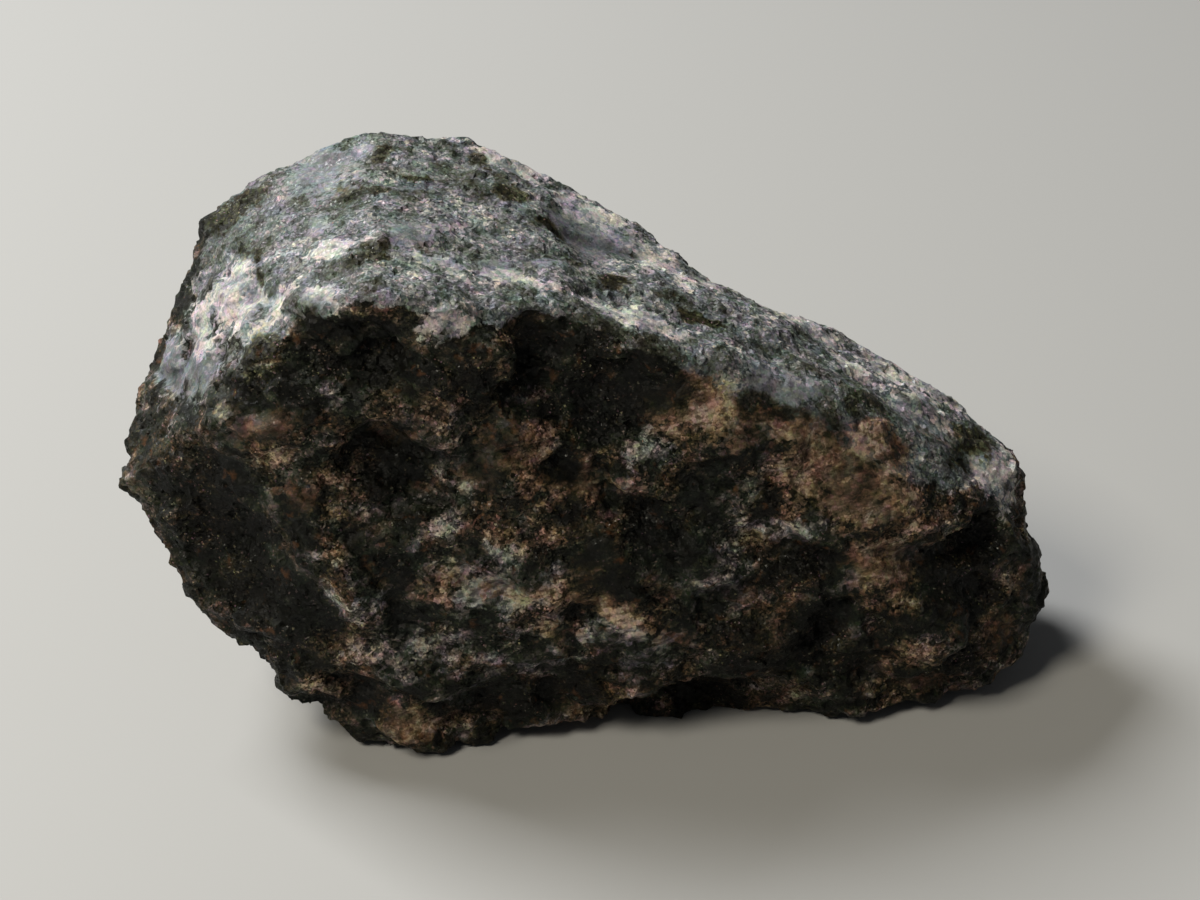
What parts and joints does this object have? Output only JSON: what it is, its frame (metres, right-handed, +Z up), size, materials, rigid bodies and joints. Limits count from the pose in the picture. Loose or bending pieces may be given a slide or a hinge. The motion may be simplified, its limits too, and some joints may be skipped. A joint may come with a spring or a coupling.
{
  "type": "raw gabbro stone",
  "caption": "Broken hand sample of coarse dark gabbro with pale crystal streaks and a wedge shape, resting on a small flat spot; a natural stone for display or study.",
  "frame": {"origin": "on the ground, below the middle of the bounding box", "axes": "+X along the longest side, toward the narrow low end; +Y away from the viewer of the picture; +Z up"},
  "size_m": [0.056, 0.0278, 0.0312],
  "materials": {
    "gabbro_stone": "raw broken surface, dull with small glints"
  },
  "bodies": {
    "root": {"gabbro": "gabbro_stone"}
  },
  "joints": []
}
